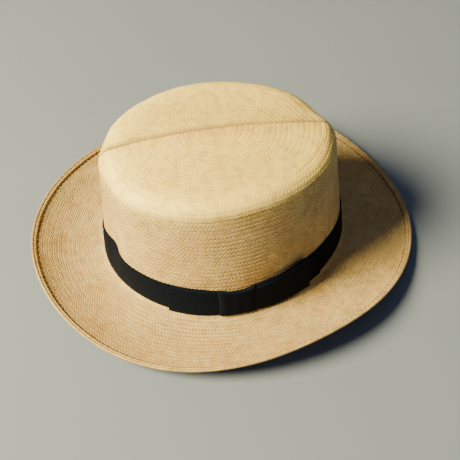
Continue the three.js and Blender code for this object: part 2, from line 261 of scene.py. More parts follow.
def new_piece(name, points, faces, corner_uv=None):
    mesh = bpy.data.meshes.new(name)
    mesh.from_pydata((points * MM).tolist(), [], [list(face) for face in faces])
    if corner_uv is not None:
        layer = mesh.uv_layers.new(name="weave")
        layer.data.foreach_set("uv", np.asarray(corner_uv, np.float32).ravel())
    mesh.shade_smooth()
    piece = bpy.data.objects.new(name, mesh)
    bpy.context.scene.collection.objects.link(piece)
    made[name] = piece
    return piece


def face_outwards(piece):
    import bmesh
    work = bmesh.new()
    work.from_mesh(piece.data)
    bmesh.ops.recalc_face_normals(work, faces=work.faces)
    work.to_mesh(piece.data)
    work.free()
    return piece


def count_triangles(piece):
    piece.data.calc_loop_triangles()
    return len(piece.data.loop_triangles)


# %% [markdown]
# ## Closed rings
# The band, the hem, the sweatband and the brim all run right round the hat. Each is one closed
# outline carried round, so its first and last columns are the same points. The UV map still needs
# a start and an end, which sit on the same edge with different numbers.

# %% A ring from an outline at each angle
def even_turn(columns):
    return np.linspace(0, 2 * math.pi, columns, endpoint=False)


def weave_corners(across, turn, around):
    """UVs of the four corners of each face of a grid; across[row, column] is the second value."""
    rows, columns = across.shape[0] - 1, len(turn)
    across = np.broadcast_to(across, (rows + 1, columns))
    low = np.repeat(np.arange(rows), columns)
    left = np.tile(np.arange(columns), rows)
    right = (left + 1) % columns
    share = np.append(turn, 2 * math.pi) / (2 * math.pi) * around
    u0, u1 = share[left], share[left + 1]
    corners = [u0, across[low, left], u1, across[low, right]]
    corners += [u1, across[low + 1, right], u0, across[low + 1, left]]
    return np.stack(corners, axis=-1).reshape(-1, 2)


def ring_piece(name, outline, columns, across_uv, around_uv=1.0):
    """outline(angle) gives points[row] for a column of angles; across_uv has one more value than rows."""
    turn = even_turn(columns)
    points = outline(turn[None, :])
    faces = grid_faces(points.shape[0], columns, True, True)
    across = across_uv if across_uv.ndim == 2 else across_uv[:, None]
    corner_uv = weave_corners(across, turn, around_uv)
    return face_outwards(new_piece(name, points.reshape(-1, 3), faces, corner_uv))


# %% [markdown]
# ## Weaving the crown
# The weaver starts with a knot in the middle of the crown and adds one ring after another. The
# rings are 1.9 mm apart, four points of the mesh to a ring. Every second ring is a real ridge, which
# is coarser than the weave but shows, and a soft unevenness keeps the hand-blocked look.

# %% The crown, outer and inner skin in one mesh
RING = 1.9                       # one woven ring of the crown, in mm
TOP_RADIUS = (SHOULDER_HALF_LENGTH + SHOULDER_HALF_WIDTH) / 2 - SHOULDER_RADIUS
SHOULDER_ARC = math.pi / 2 * SHOULDER_RADIUS * (1 + SHOULDER_FLATNESS) / 2
CROWN_BOTTOM = -1.0
CROWN_COLUMNS = 216


def crown_turn():
    """Angles round the crown, closer together where the ridge crosses, at the front and the back."""
    turn = even_turn(CROWN_COLUMNS)
    return turn - 0.3 * np.sin(2 * turn)


def crown_rows(step, depth):
    """Points[row, column] from the middle of the top down to the lower rim, and each row's distance."""
    angle = crown_turn()[None, :]
    shares = np.linspace(0.01, 1, round(TOP_RADIUS / step))[:, None]
    leans = np.linspace(math.pi / 2, 0, round(SHOULDER_ARC / step))[1:, None]
    downs = np.linspace(0, 1, round(SHOULDER_HEIGHT / step))[1:, None]
    heights = wall_top(angle) * (1 - downs) + CROWN_BOTTOM * downs
    rows = [on_top(angle, shares, depth), on_shoulder(angle, leans, depth)]
    rows.append(beside_wall(angle, heights, -depth))
    travel = [shares * TOP_RADIUS, TOP_RADIUS + (1 - leans / (math.pi / 2)) * SHOULDER_ARC]
    travel.append(TOP_RADIUS + SHOULDER_ARC + downs * SHOULDER_HEIGHT)
    return np.concatenate(rows), np.concatenate(travel)[:, 0]


def sheet_normals(points):
    across = np.roll(points, -1, axis=1) - np.roll(points, 1, axis=1)
    down = np.gradient(points, axis=0)
    normal = np.cross(across, down)
    return normal / np.maximum(np.linalg.norm(normal, axis=-1, keepdims=True), 1e-9)


def soft_noise(points, size):
    flat = points.reshape(-1, 3) / size
    values = [noise.noise(Vector(p)) for p in flat.tolist()]
    return np.array(values).reshape(points.shape[:-1])


def rings(travel, pitch, height):
    return height * (0.5 - 0.5 * np.cos(2 * math.pi * travel / pitch))


def wander(points, travel, pitch):
    """Rings laid by hand drift a little: the distance along the sheet with that drift added."""
    drift = soft_noise(points, 42) * 0.55 + soft_noise(points, 13) * 0.22
    return travel[:, None] + pitch * drift * smooth(travel, 2, 20)[:, None]


def make_crown():
    outer, outer_travel = crown_rows(0.47, 0.0)
    inner, inner_travel = crown_rows(3.2, STRAW)
    fade = smooth(outer_travel, 3, 14)[:, None]
    woven = wander(outer, outer_travel, RING)
    wall_start = TOP_RADIUS + SHOULDER_ARC
    on_wall = smooth(outer_travel, wall_start - 6, wall_start + 8)[:, None]
    relief = rings(woven, 2 * RING, 0.12) * (0.45 + 0.55 * fade) * (1 - 0.5 * on_wall)
    relief = relief + 0.5 * fade * soft_noise(outer, 28) + 0.16 * fade * soft_noise(outer, 8)
    normal = sheet_normals(outer)
    if normal[outer.shape[0] // 4, :, 2].mean() < 0:
        normal = -normal
    outer = outer + normal * (relief - 0.2)[..., None]
    points = np.concatenate([outer, inner[::-1]])
    rows, columns = points.shape[:2]
    inside = np.broadcast_to(inner_travel[::-1, None], (len(inner_travel), columns))
    faces = grid_faces(rows, columns, True)
    corner_uv = weave_corners(np.concatenate([woven, inside]) / RING, crown_turn(), 1.0)
    flat = points.reshape(-1, 3)
    peak, under = len(flat), len(flat) + 1
    flat = np.concatenate([flat, [outer[0].mean(axis=0), inner[0].mean(axis=0)]])
    last = (rows - 1) * columns
    fans = []
    for j in range(columns):
        k = (j + 1) % columns
        fans.append([k, j, peak])
        fans.append([last + j, last + k, under])
    fan_uv = np.zeros((len(fans) * 3, 2))
    all_uv = np.concatenate([corner_uv, fan_uv])
    piece = new_piece("straw_crown_woven", flat, faces.tolist() + fans, all_uv)
    return face_outwards(piece)


crown = make_crown()
print("crown triangles:", count_triangles(crown))

# %% [markdown]
# ## The brim
# The same weave goes on outwards, in rings 1.87 mm apart, and again every second one is a ridge. The
# brim leaves the crown with a small bend, dips a little and then curls up at its edge.

# %% The brim's sheet
BRIM_RING = 1.87
HEM_WIDTH = 4.6
BRIM_COLUMNS = 320
BRIM_START = -0.7


def make_brim():
    shares = np.concatenate([np.linspace(0, 0.08, 10), np.linspace(0.08, 1, 112)[1:]])[:, None]
    below = shares[::3][::-1]

    def skin(angle, share, lift):
        reach = BRIM_START + (brim_reach(angle) - 1.4 - BRIM_START) * share
        root = 1.55 * np.exp(-np.maximum(reach - 1.0, 0) / 1.5)
        return beside_brim(angle, reach, lift + root), reach

    angle = even_turn(BRIM_COLUMNS)[None, :]
    upper, reach = skin(angle, shares, 0.0)
    lower, _ = skin(angle, below, -STRAW)
    woven = wander(upper, shares[:, 0] * BRIM_WIDTH, BRIM_RING)
    wobble = 0.45 * soft_noise(upper, 34) + 0.14 * soft_noise(upper, 9)
    upper[..., 2] += (rings(woven, 2 * BRIM_RING, 0.12) - 0.1 + wobble) * smooth(reach, 2, 8)
    flat = np.broadcast_to(np.concatenate([below, [[0.0]]]) * BRIM_WIDTH, (len(below) + 1, BRIM_COLUMNS))
    across = np.concatenate([woven, flat]) / BRIM_RING
    return ring_piece("straw_brim_woven", lambda _: np.concatenate([upper, lower]), BRIM_COLUMNS, across)


brim = make_brim()
print("brim triangles:", count_triangles(brim))

# %% [markdown]
# ## The turned edge
# The last rings are folded up over the brim and sewn down. From above the fold shows two rows: a
# bright round lip, then a flatter row, then a dark groove where it meets the brim.

# %% The hem's outline, carried round the edge
def make_hem():
    groove = HEM_WIDTH
    profile = [
        (-groove + 0.1, -0.1), (-groove, 0.5), (-groove + 0.25, 1.05), (-groove + 0.8, 1.4),
        (-groove + 1.4, 1.42), (-groove + 1.9, 1.2), (-groove + 2.15, 1.0), (-groove + 2.4, 1.2),
        (-groove + 2.9, 1.55), (-groove + 3.5, 1.55), (-0.6, 1.2), (-0.2, 0.75), (0.0, 0.15),
        (0.0, -0.4), (-0.25, -0.95), (-0.7, -1.35), (-1.4, -1.5), (-1.7, -1.3), (-1.7, -0.1),
    ]

    def outline(angle):
        rows = []
        for inward, lift in profile:
            reach = brim_reach(angle) + inward
            wave = 0.1 * np.cos(170 * angle) if lift > 0.9 else 0.0
            rows.append(beside_brim(angle, reach, lift + wave))
        return np.concatenate(rows)

    across = np.array([inward for inward, _ in profile] + [-groove]) / 2.3
    return ring_piece("brim_edge_turned", outline, 900, across)


hem = make_hem()
print("hem triangles:", count_triangles(hem))

# %% [markdown]
# ## Ribbon and leather as thin solids
# A strip of ribbon is a middle surface with a thickness. The helper offsets the surface both ways
# and closes the four edges, so every strip is a real closed solid with its own front and back.

# %% A strip with thickness from its middle surface
def strip_piece(name, middle, thickness, step_u, step_v=1.0):
    """middle[row, column] runs along the strip by row and across it by column."""
    along = np.gradient(middle, axis=0)
    across = np.gradient(middle, axis=1)
    normal = np.cross(along, across)
    normal /= np.maximum(np.linalg.norm(normal, axis=-1, keepdims=True), 1e-9)
    rows, columns = middle.shape[:2]
    taper = np.ones(columns)
    taper[[0, -1]] = 0.45
    half = (thickness / 2 * taper)[None, :, None]
    front, back = middle + normal * half, middle - normal * half
    loop = np.concatenate([front, back[:, ::-1]], axis=1)
    faces = grid_faces(rows, 2 * columns, True).tolist()
    last = (rows - 1) * 2 * columns
    for j in range(columns - 1):
        mirror = 2 * columns - 1 - j
        faces.append([j + 1, j, mirror, mirror - 1])
        faces.append([last + j, last + j + 1, last + mirror - 1, last + mirror])
    length = np.linalg.norm(np.diff(middle, axis=0), axis=-1).mean(axis=1)
    u = np.concatenate([[0], np.cumsum(length)]) / step_u
    v = np.concatenate([np.linspace(0, 1, columns), np.linspace(1, 0, columns), [0]]) * step_v
    i = np.repeat(np.arange(rows - 1), 2 * columns)
    j = np.tile(np.arange(2 * columns), rows - 1)
    side = np.stack([u[i], v[j], u[i], v[j + 1], u[i + 1], v[j + 1], u[i + 1], v[j]], axis=-1)
    caps = np.zeros(((columns - 1) * 2 * 4, 2))
    corner_uv = np.concatenate([side.reshape(-1, 2), caps])
    return face_outwards(new_piece(name, loop.reshape(-1, 3), faces, corner_uv))


# %% [markdown]
# ## The hatband
# Grosgrain is woven with a thick weft, so it has ribs square to its length, here 0.9 mm apart. The
# band is cut a little short and sewn up at the side, where the bow covers the join.

# %% The band round the crown
RIB = 0.9
BAND_GAP = 0.3


GATHER_ANGLE, GATHER_SPREAD = 91.0, 13.0
GATHER_LIFT, GATHER_DROP = 2.0, 3.5      # the knot draws the ribbons' edges together beside it


def on_ribbon(angle, height, offset):
    away = (np.degrees(angle) % 360 - GATHER_ANGLE) / GATHER_SPREAD
    squeeze = GATHER_LIFT - (GATHER_LIFT + GATHER_DROP) * height / BAND_HEIGHT
    return beside_wall(angle, height + squeeze * np.exp(-(away ** 2)), offset)


def make_band():
    levels = np.linspace(0, 1, 15)[:, None]
    swell = 0.18 * np.sin(math.pi * levels)

    def outline(angle):
        height = 0.1 + (BAND_HEIGHT - 0.2) * levels
        ease = 0.14 * np.cos(5 * angle + 0.7) + 0.1 * np.cos(9 * angle)
        outer = on_ribbon(angle, height, BAND_GAP + RIBBON + swell + ease * (1 - levels) ** 2)
        inner = on_ribbon(angle, height[::-1], BAND_GAP + 0 * levels)
        return np.concatenate([outer, inner])

    across = np.concatenate([levels[:, 0], levels[::-1, 0], [0.0]])
    girth = 2 * math.pi * (HEAD_HALF_LENGTH + HEAD_HALF_WIDTH) / 2
    return ring_piece("hatband_grosgrain", outline, 720, across, girth / RIB)


band = make_band()
print("band triangles:", count_triangles(band))

# %% [markdown]
# ## The flat bow
# One strip folds out towards the front and back again, another towards the rear, and a short strip
# wraps over both as the knot. The brim rises under the rear loop, so that loop's lower edge is
# pushed off the wall and its end climbs.

# %% Loops and tail
LEAF = BAND_GAP + RIBBON + 0.3 + RIBBON / 2      # middle of the bow's first layer, from the wall
BOW_THICK = 0.45


def fold_path(start, end, near, far_start, far_end, swell):
    """(degrees, offset) along a strip that runs out on the far leaf, folds, and comes back near."""
    out = np.linspace(0, 1, 26)
    far = far_start + (far_end - far_start) * out ** 1.5 + swell * np.sin(math.pi * out ** 0.8)
    near_back = near + (far_end - 2.2 - near) * np.maximum(0, (1 - out) - 0.35) ** 1.3 * 0.6
    turn = np.linspace(0, math.pi, 12)[1:-1]
    middle = (far[-1] + near_back[0]) / 2
    radius = (far[-1] - near_back[0]) / 2
    sign = np.sign(end - start)
    degrees = [start + (end - start) * out, end + sign * 0.75 * radius * np.sin(turn) / 1.6]
    degrees.append(end + (start - end) * out)
    offsets = [far, middle + radius * np.cos(turn), near_back]
    return np.concatenate(degrees), np.concatenate(offsets)


def lay_on_wall(name, degrees, offsets, low, high, lean=None, columns=13):
    """A strip whose path is (degrees, offsets) and whose edges stand at heights low and high."""
    level = np.linspace(0, 1, columns)[None, :]
    low, high = np.asarray(low)[..., None], np.asarray(high)[..., None]
    height = low + (high - low) * level
    offset = np.asarray(offsets)[:, None] + 0.12 * np.sin(math.pi * level)
    if lean is not None:
        offset = offset + lean[:, None] * (1 - level)
    middle = on_ribbon(np.radians(degrees)[:, None], height, offset)
    return strip_piece(name, middle, BOW_THICK, RIB)


FRONT_LOOP = {"start": 97, "end": 126.3, "near": LEAF, "far_start": 2.1, "far_end": 2.5, "swell": 0.3}
REAR_LOOP = {"start": 84, "end": 51.5, "near": LEAF + 0.8, "far_start": 2.9, "far_end": 4.7, "swell": 0.7}
REAR_LOOP_RISE = 5.0             # its end climbs over the brim
TAIL_START, TAIL_END = 86, 44


def make_front_loop():
    degrees, offsets = fold_path(**FRONT_LOOP)
    away = smooth(degrees, 104, 127)
    low, high = -0.1 - 0.5 * away, BAND_HEIGHT - 0.3 - 0.2 * away
    return lay_on_wall("bow_loop_front", degrees, offsets, low, high)


def make_rear_loop():
    degrees, offsets = fold_path(**REAR_LOOP)
    away = smooth(-degrees, -80, -50)
    low = 0.1 + 2.4 * away
    high = BAND_HEIGHT - 0.3 + REAR_LOOP_RISE * away
    return lay_on_wall("bow_loop_rear", degrees, offsets, low, high, 1.2 * away)


def make_tail():
    degrees = np.linspace(TAIL_START, TAIL_END, 40)
    along = (TAIL_START - degrees) / (TAIL_START - TAIL_END)
    offsets = LEAF + 0.6 * along ** 2
    level = np.linspace(0, 1, 13)[None, :]
    slant = 3.0 * (1 - level) * smooth(along, 0.6, 1.0)[:, None]
    height = -0.1 + (BAND_HEIGHT - 0.5) * level
    middle = on_ribbon(np.radians(degrees[:, None] - slant), height, offsets[:, None] + 0 * level)
    return strip_piece("bow_tail_rear", middle, BOW_THICK, RIB)


# %% The knot
KNOT_OUT = 3.9                   # how far the knot's face stands off the wall
KNOT_ANGLE, KNOT_HALF_SPREAD = 90.75, 9.6


def make_knot():
    outer = KNOT_OUT
    low, high = -0.75, BAND_HEIGHT + 0.85
    corner = np.linspace(0, math.pi / 2, 7)
    radius = 0.9
    front = np.linspace(low + radius, high - radius, 20)
    offset = np.concatenate([
        [1.6, 2.6], outer - radius + radius * np.sin(corner), np.full(18, outer),
        outer - radius + radius * np.cos(corner), [2.6, 1.0],
    ])
    height = np.concatenate([
        [low, low], low + radius - radius * np.cos(corner), front[1:-1],
        high - radius + radius * np.sin(corner), [high, high],
    ])
    across = np.linspace(-1, 1, 25)[None, :]
    middle_share = np.clip((height - low) / (high - low), 0, 1)[:, None]
    waist = 1 - 0.035 * np.sin(math.pi * middle_share)
    degrees = KNOT_ANGLE + KNOT_HALF_SPREAD * across * waist
    pleat = 0.16 * np.cos(3 * math.pi * across) * np.sin(math.pi * middle_share)
    drop = -0.55 * np.abs(across) ** 6
    points = on_ribbon(np.radians(degrees), height[:, None], offset[:, None] + pleat + drop)
    return strip_piece("bow_knot_wrap", points, BOW_THICK, RIB)


bow = [make_front_loop(), make_rear_loop(), make_tail(), make_knot()]
print("bow triangles:", [count_triangles(piece) for piece in bow])

# %% [markdown]
# ## Inside the crown
# A strip of leather lies against the straw all round, with a thin reed in the fold at its lower
# edge. The reed keeps the edge stiff, and one line of stitches just above it holds both to the hat.

# %% Sweatband and reed
LEATHER_OUT = -STRAW - 0.5
REED_RADIUS = 1.1


def make_sweatband():
    levels = np.linspace(0, 1, 22)[:, None]

    def outline(angle):
        low = REED_RADIUS + 0.35
        height = low + (SWEATBAND_HEIGHT - 0.1 - low) * levels
        ripple = 0.18 * np.cos(11 * angle + 1.0) * levels ** 3
        ripple = ripple + 0.12 * np.cos(23 * angle) * levels ** 3
        outer = beside_wall(angle, height, LEATHER_OUT + 0 * levels)
        roll = 0.35 * np.exp(-((levels - 0.02) / 0.06) ** 2)
        roll = roll - 0.2 * np.exp(-((levels - 0.965) / 0.02) ** 2)
        inner = beside_wall(angle, height[::-1], (LEATHER_OUT - LEATHER - ripple - roll)[::-1])
        return np.concatenate([outer, inner])

    across = np.concatenate([levels[:, 0], levels[::-1, 0], [0.0]])
    return ring_piece("sweatband_leather", outline, 360, across)


def make_reed():
    turn = np.linspace(0, 2 * math.pi, 14, endpoint=False)[:, None]
    centre = LEATHER_OUT - REED_RADIUS

    def outline(angle):
        wrinkle = 0.04 * np.cos(260 * angle)
        radius = REED_RADIUS - 0.05 + wrinkle
        return beside_wall(angle, radius * np.sin(turn), centre + radius * np.cos(turn))

    across = np.linspace(0, 1, 15)
    return ring_piece("sweatband_reed_piping", outline, 720, across)


sweatband = make_sweatband()
reed = make_reed()
print("inside triangles:", count_triangles(sweatband), count_triangles(reed))

# %% [markdown]
# ## Stitches
# A line of sewing is many short lengths of thread, each dipping into the material at both ends.
# One small tapered stitch is repeated along a path, and all of them join into one piece.

# %% One stitch, and a row of them
def stitch_points(start, middle, end, radius, sides=7, steps=7):
    t = np.linspace(0, 1, steps)[:, None]
    centre = (1 - t) ** 2 * start + 2 * t * (1 - t) * middle + t ** 2 * end
    along = np.gradient(centre, axis=0)
    along /= np.linalg.norm(along, axis=1, keepdims=True)
    up = middle - (start + end) / 2
    up = up / np.linalg.norm(up)
    side = np.cross(along, up)
    side /= np.linalg.norm(side, axis=1, keepdims=True)
    lift = np.cross(side, along)
    turn = np.linspace(0, 2 * math.pi, sides, endpoint=False)
    width = radius * (1 - 0.45 * np.abs(2 * t - 1) ** 3)
    ring = side[:, None] * np.cos(turn)[None, :, None] + lift[:, None] * np.sin(turn)[None, :, None]
    return centre[:, None] + ring * width[:, None]


def stitch_row(name, stitches, radius, steps=7, sides=7):
    """stitches is a list of (start, middle, end) points."""
    points, faces = [], []
    for start, middle, end in stitches:
        base = len(points) * sides * steps
        points.append(stitch_points(start, middle, end, radius, sides, steps).reshape(-1, 3))
        faces.extend((grid_faces(steps, sides, True) + base).tolist())
        faces.append([base + k for k in range(sides)][::-1])
        faces.append([base + (steps - 1) * sides + k for k in range(sides)])
    return face_outwards(new_piece(name, np.concatenate(points), faces))


STITCH_SHARES = (0.12, 0.46, 0.8)        # where a stitch goes in, is highest, and comes out


def stitches_round(count, lifts, place):
    """A stitch per step round the hat; place(angle, lift) gives the point for each of three lifts."""
    row = []
    for k in range(count):
        angle = 2 * math.pi * k / count
        turns = [angle + 2 * math.pi / count * share for share in STITCH_SHARES]
        row.append([place(np.array(turn), lift) for turn, lift in zip(turns, lifts)])
    return row


def hem_stitches():
    inward = HEM_WIDTH + 0.45

    def place(angle, lift):
        return beside_brim(angle, brim_reach(angle) - inward, lift)

    return stitch_row("hem_thread", stitches_round(210, (0.15, 0.62, 0.15), place), 0.26)


def sweatband_stitches():
    def place(angle, lift):
        return beside_wall(angle, 3.5, LEATHER_OUT - LEATHER - lift)

    return stitch_row("sweatband_thread", stitches_round(190, (0.2, 0.62, 0.2), place), 0.24)


def tack(name, node, degrees):
    """Two short thread bars over the band's upper edge, where the frame has its tack."""
    centre_height = BAND_HEIGHT - 0.9
    row = []
    for shift in (-0.35, 0.35):
        at = math.radians(degrees + shift)
        lean = math.radians(0.35)
        row.append([
            beside_wall(np.array(at - lean), centre_height, 1.1),
            beside_wall(np.array(at), centre_height + 1.1, 2.0),
            beside_wall(np.array(at + lean), centre_height + 2.2, 0.1),
        ])
    piece = stitch_row(name, row, 0.22)
    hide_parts(node)
    return piece


hem_thread = hem_stitches()
sweat_thread = sweatband_stitches()
tacks = [
    tack("tack_thread_front", "band_tack_front", 178), tack("tack_thread_back", "band_tack_back", 6),
    tack("tack_thread_right_front", "band_tack_right_front", 225),
    tack("tack_thread_right_back", "band_tack_right_back", 315),
]
print("stitch triangles:", count_triangles(hem_thread), count_triangles(sweat_thread))

# %% [markdown]
# ## The little bow and the size tab
# The ends of the sweatband meet at the back, under a small flat bow of leather-coloured ribbon. A
# blank paper tab lies beside it.

# %% Inside bow and tab
def make_inside_bow():
    degrees = np.linspace(-6.4, 6.4, 41)
    spread = np.abs(degrees) / 6.4
    half = 1.5 + 2.6 * smooth(spread, 0.05, 0.7)
    level = np.linspace(-1, 1, 9)[None, :]
    height = 11 + half[:, None] * level
    puff = 0.55 * np.sin(math.pi * smooth(spread, 0.1, 1.0))[:, None] * (1 - level ** 2)
    crease = 0.18 * np.cos(2.5 * math.pi * level) * (1 - spread)[:, None]
    offset = LEATHER_OUT - LEATHER - 0.95 - puff + crease
    middle = beside_wall(np.radians(degrees)[:, None], height, offset)
    return strip_piece("sweatband_bow_ribbon", middle, 0.5, RIB)


def make_size_tab():
    degrees = np.linspace(24, 32, 16)[:, None]
    level = np.linspace(0, 1, 14)[None, :]
    curl = 0.35 * level ** 4
    offset = LEATHER_OUT - LEATHER - 0.55 - curl
    middle = beside_wall(np.radians(degrees), 12 + 10 * level, offset)
    return strip_piece("size_tab_blank", middle, 0.25, 1.0)


inside_bow = make_inside_bow()
size_tab = make_size_tab()

# %% [markdown]
# ## Finishes
# Each finish starts from the real stuff. Colours are written as they look on a screen and turned
# to linear light by one function. One small function adds a node with its settings and links.
# A noise's scale is in cells per metre, so a scale of 24 gives patches about 42 mm across.

# %% Colour and node helpers
MATH, MIX, RANGE = "ShaderNodeMath", "ShaderNodeMix", "ShaderNodeMapRange"
NOISE, WHITE, BUMP = "ShaderNodeTexNoise", "ShaderNodeTexWhiteNoise", "ShaderNodeBump"
TIMES = {"operation": "MULTIPLY"}
TIMES_PLUS = {"operation": "MULTIPLY_ADD"}
RGBA = {"data_type": "RGBA"}     # a mix of colours: factor is input 0, colours 6 and 7, result 2


def linear(hex_colour):
    channels = [int(hex_colour[i:i + 2], 16) / 255 for i in (1, 3, 5)]
    return [c / 12.92 if c <= 0.04045 else ((c + 0.055) / 1.055) ** 2.4 for c in channels] + [1.0]


def new_material(name):
    material = bpy.data.materials.new(name)
    material.use_nodes = True
    material.node_tree.nodes.clear()
    return material


def add(material, kind, settings=None, inputs=()):
    """Adds a node, sets its properties, sets or links its inputs, and returns its outputs.
    Inputs are a dict by name or number, or a list that fills them in order."""
    tree = material.node_tree
    node = tree.nodes.new(kind)
    for key, value in (settings or {}).items():
        setattr(node, key, value)
    numbered = inputs if isinstance(inputs, dict) else dict(enumerate(inputs))
    for key, value in numbered.items():
        socket = node.inputs[key]
        if isinstance(value, bpy.types.NodeSocket):
            tree.links.new(value, socket)
        else:
            socket.default_value = value
    return node.outputs


def surface(material, settings, normal=None):
    """Ends a finish: the shader with its settings, and the material's output."""
    inputs = dict(settings)
    if normal is not None:
        inputs["Normal"] = normal
    shader = add(material, "ShaderNodeBsdfPrincipled", None, inputs)[0]
    add(material, "ShaderNodeOutputMaterial", None, {"Surface": shader})


# %% [markdown]
# ## Toquilla straw
# Toquilla is a split palm leaf, dried and woven damp. Each strand has its own tone between cream
# and honey, a faint waxy gloss, and a few strands carry a brown fleck. Strands lean one way in one
# ring and the other way in the next, which makes the herringbone. Where rings meet there is a
# narrow shade line. A real strand is about a millimetre wide, too fine to show from here, so the
# strands are drawn 2.2 to 3.2 mm wide.

# %% Where a point lies in the weave
STRAND_LEAN = 0.9                # how far a strand leans across its ring, in strands


def weave_pattern(m, girth, growth, ring_cap, strand):
    """Girth + growth per ring, up to ring_cap, is the length round a ring; strand is one's width.
    Gives the distance in rings, the strand's own random number, and its height as a pillow."""
    uv = add(m, "ShaderNodeUVMap", {"uv_map": "weave"})[0]
    split = add(m, "ShaderNodeSeparateXYZ", None, [uv])
    around, ring = split[0], split[1]
    ring_index = add(m, MATH, {"operation": "FLOOR"}, [ring])[0]
    ring_place = add(m, MATH, {"operation": "FRACT"}, [ring])[0]
    counted = add(m, MATH, {"operation": "MINIMUM"}, [ring_index, ring_cap])[0]
    ring_girth = add(m, MATH, TIMES_PLUS, [counted, growth, girth])[0]
    strands = add(m, MATH, {"operation": "DIVIDE"}, [ring_girth, strand])[0]
    strands = add(m, MATH, {"operation": "ROUND"}, [strands])[0]
    odd = add(m, MATH, {"operation": "MODULO"}, [ring_index, 2.0])[0]
    parity = add(m, MATH, TIMES_PLUS, [odd, 2.0, -1.0])[0]
    ring_start = add(m, WHITE, {"noise_dimensions": "1D"}, {"W": ring_index})[0]
    centred = add(m, MATH, {"operation": "SUBTRACT"}, [ring_place, 0.5])[0]
    lean = add(m, MATH, TIMES, [centred, parity])[0]
    place = add(m, MATH, TIMES_PLUS, [around, strands, ring_start])[0]
    place = add(m, MATH, TIMES_PLUS, [lean, STRAND_LEAN, place])[0]
    strand_index = add(m, MATH, {"operation": "FLOOR"}, [place])[0]
    strand_place = add(m, MATH, {"operation": "FRACT"}, [place])[0]
    cell = add(m, "ShaderNodeCombineXYZ", None, [ring_index, strand_index])[0]
    pick = add(m, WHITE, {"noise_dimensions": "2D"}, {"Vector": cell})[0]
    # A strand is a pillow: high in its middle, low where it dives under the next one.
    over = add(m, MATH, TIMES, [strand_place, math.pi])[0]
    over = add(m, MATH, {"operation": "SINE"}, [over])[0]
    shelf = add(m, MATH, TIMES, [ring_place, math.pi])[0]
    shelf = add(m, MATH, {"operation": "SINE"}, [shelf])[0]
    shelf = add(m, MATH, {"operation": "POWER"}, [shelf, 0.5])[0]
    pillow = add(m, MATH, TIMES, [over, shelf])[0]
    return ring, pick, pillow


# %% Tones on the crown, with a painted highlight and painted shade
TOP_TONE = "#cdb64f"         # the top, coloured yellower and lighter than the wall
SHOULDER_HIGHLIGHT = "#e9d672"            # painted highlight on the shoulder towards the front, on the lamp's side
CREST_AMBER = "#a8732f"           # amber on the ridge's near side, strongest near the middle of the crown
FOLD_SHADE = "#6a5636"            # painted shade just behind the ridge


def crown_tones_and_painted_light(m, colour, ring, place, patch, shoulder_ring):
    """Tones that follow the crown's shape, with a painted highlight on the front shoulder and painted shade
    behind the ridge; shoulder_ring is the ring where the wall starts.
    """
    # The top is coloured yellower and lighter than the wall.
    toward_top = add(m, RANGE, None, [ring, shoulder_ring + 4.0, shoulder_ring - 8.0])[0]
    share = add(m, MATH, TIMES, [toward_top, 0.6])[0]
    colour = add(m, MIX, RGBA, {0: share, 6: colour, 7: linear(TOP_TONE)})[2]
    split = add(m, "ShaderNodeSeparateXYZ", None, [place])
    across, along = split[0], split[1]
    # Painted highlight: the shoulder towards the front, on the lamp's side, is lightened.
    rim = add(m, RANGE, None, [ring, shoulder_ring - 16.0, shoulder_ring - 6.0])[0]
    to_front = add(m, RANGE, None, [along, 0.04, -0.05])[0]
    painted_highlight = add(m, MATH, TIMES, [rim, to_front])[0]
    painted_highlight = add(m, MATH, TIMES, [painted_highlight, toward_top])[0]
    share = add(m, MATH, TIMES, [painted_highlight, 0.85])[0]
    colour = add(m, MIX, RGBA, {0: share, 6: colour, 7: linear(SHOULDER_HIGHLIGHT)})[2]
    # The ridge's near side is tinted amber, most near the middle of the crown.
    near_side = add(m, RANGE, None, [across, -0.001, 0.0])[0]
    crest = add(m, RANGE, None, [across, 0.014, 0.0])[0]
    from_middle = add(m, MATH, {"operation": "ABSOLUTE"}, [along])[0]
    rosette = add(m, RANGE, None, [from_middle, 0.06, 0.01, 0.2, 1.0])[0]
    crest_amber = add(m, MATH, TIMES, [rosette, near_side])[0]
    crest_amber = add(m, MATH, TIMES, [crest, crest_amber])[0]
    share = add(m, MATH, TIMES, [crest_amber, patch])[0]
    colour = add(m, MIX, RGBA, {0: share, 6: colour, 7: linear(CREST_AMBER)})[2]
    # Painted shade: a darker band just behind the ridge, where the fold keeps the light off.
    behind = add(m, RANGE, None, [across, -0.001, -0.004])[0]
    fading = add(m, RANGE, None, [across, -0.013, -0.0055])[0]
    painted_fold_shade = add(m, MATH, TIMES, [behind, fading])[0]
    painted_fold_shade = add(m, MATH, TIMES, [painted_fold_shade, toward_top])[0]
    share = add(m, MATH, TIMES, [painted_fold_shade, 0.9])[0]
    return add(m, MIX, RGBA, {0: share, 6: colour, 7: linear(FOLD_SHADE)})[2]


# %% Woven straw
FLECK = "#5a3d1c"                # a brown scar that a leaf had while it grew
FLECK_FROM = 0.9975              # one strand in 400 has one
WAXY = "#ffdf9c"                 # the gloss of the leaf's skin is yellowish


